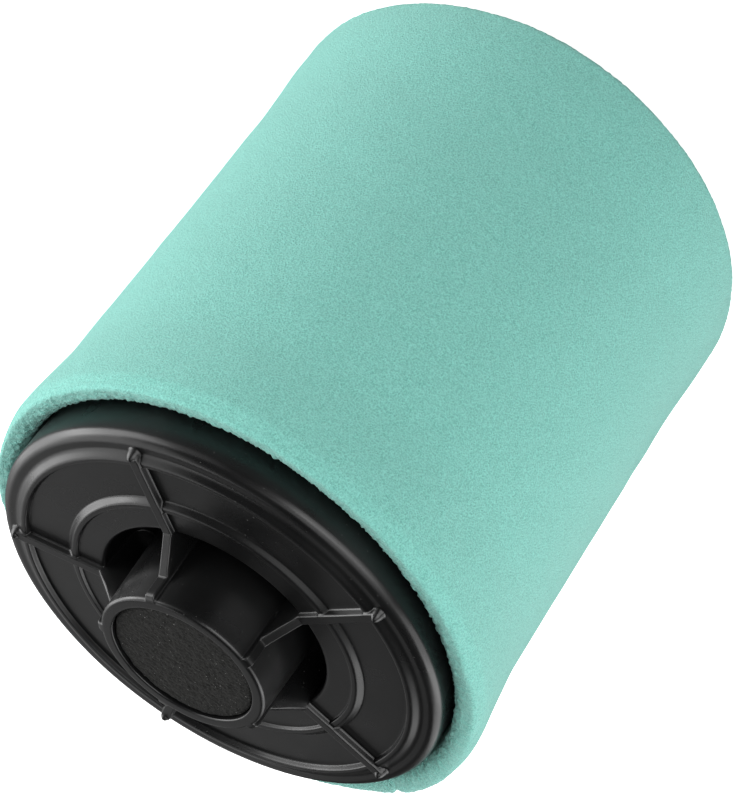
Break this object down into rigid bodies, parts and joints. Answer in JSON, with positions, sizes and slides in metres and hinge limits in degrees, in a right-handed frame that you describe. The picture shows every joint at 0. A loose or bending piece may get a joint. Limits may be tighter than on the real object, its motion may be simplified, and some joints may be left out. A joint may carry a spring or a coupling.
{
  "type": "air filter cartridge",
  "caption": "Round pleated air filter cartridge for a small engine, with a closed moulded end cap, an open end and a pull-off foam pre-cleaner sleeve.",
  "frame": {"origin": "centre of the open end's flat face, which the cartridge stands on", "axes": "+Z along the cartridge's axis, from the open end to the closed end's hub"},
  "size_m": [0.1138, 0.1138, 0.1476],
  "materials": {
    "cap_plastic": "satin black injection-moulded plastic",
    "cage_plastic": "dull black moulded plastic",
    "pad_foam": "open-cell charcoal foam",
    "sleeve_foam": "fine open-cell teal polyurethane foam",
    "foam_glue": "flexible butt-joint glue line",
    "filter_paper": "resin-treated pleated filter paper",
    "potting_adhesive": "cured casting adhesive",
    "hot_melt": "waxy hot-melt glue",
    "clip_steel": "thin zinc-plated strip",
    "seal_rubber": "soft black nitrile rubber"
  },
  "bodies": {
    "cartridge": {"closed_end_cap": "cap_plastic", "hub_foam_pad": "pad_foam", "closed_end_potting": "potting_adhesive", "pleated_paper": "filter_paper", "pleat_seam_clip": "clip_steel", "support_core": "cage_plastic", "pleat_spacer_bead_1": "hot_melt", "pleat_spacer_bead_2": "hot_melt", "pleat_spacer_bead_3": "hot_melt", "open_end_cap": "cap_plastic", "open_end_potting": "potting_adhesive", "outlet_seal": "seal_rubber"},
    "pre_cleaner": {"foam_sleeve": "sleeve_foam", "foam_sleeve_seam": "foam_glue"}
  },
  "joints": [
    {"name": "sleeve_pull_off", "type": "slide", "parent": "cartridge", "child": "pre_cleaner", "axis": [0, 0, 1], "range_m": [0, 0.16]}
  ]
}
